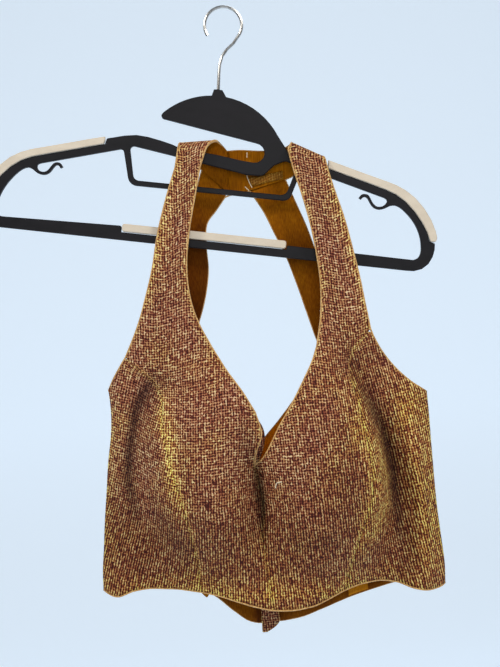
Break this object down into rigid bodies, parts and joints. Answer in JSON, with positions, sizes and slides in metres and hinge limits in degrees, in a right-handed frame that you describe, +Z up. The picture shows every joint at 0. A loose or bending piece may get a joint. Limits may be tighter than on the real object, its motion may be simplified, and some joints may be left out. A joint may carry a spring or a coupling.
{
  "type": "halter blouse on a hanger",
  "caption": "Cropped halter blouse with moulded cups, wide neck straps and a keyhole back, hung on a slim plastic clothes hanger.",
  "frame": {"origin": "inside top of the hanger's wire hook, where the rail carries it", "axes": "+Z up, front of the blouse towards -Y, +X to the right as seen from the front"},
  "size_m": [0.4394, 0.0896, 0.6122],
  "materials": {
    "outer_cloth": "woven maroon, gold and pale threads, slightly crinkled",
    "lining": "mustard lining with a soft sheen",
    "binding": "narrow tan-gold binding",
    "light_patch": "light mustard tape",
    "black_plastic": "moulded, half matt",
    "beige_grip": "soft matt strip",
    "steel_wire": "plated wire"
  },
  "bodies": {
    "root": {"armhole_binding_left": "binding", "armhole_binding_right": "binding", "back_hem_binding_left": "binding", "back_hem_binding_right": "binding", "back_left": "outer_cloth", "back_lining_left": "lining", "back_lining_right": "lining", "back_right": "outer_cloth", "back_tie_end": "outer_cloth", "front_centre_left": "outer_cloth", "front_centre_right": "outer_cloth", "front_hem_binding": "binding", "front_side_left": "outer_cloth", "front_side_right": "outer_cloth", "grip_left": "beige_grip", "grip_lower": "beige_grip", "grip_right": "beige_grip", "hanger_frame": "black_plastic", "hem_patch": "light_patch", "hook": "steel_wire", "keyhole_binding": "binding", "nape_seam_tab": "outer_cloth", "neck_binding": "binding", "strap_lining_left": "lining", "strap_lining_right": "lining"}
  },
  "joints": []
}
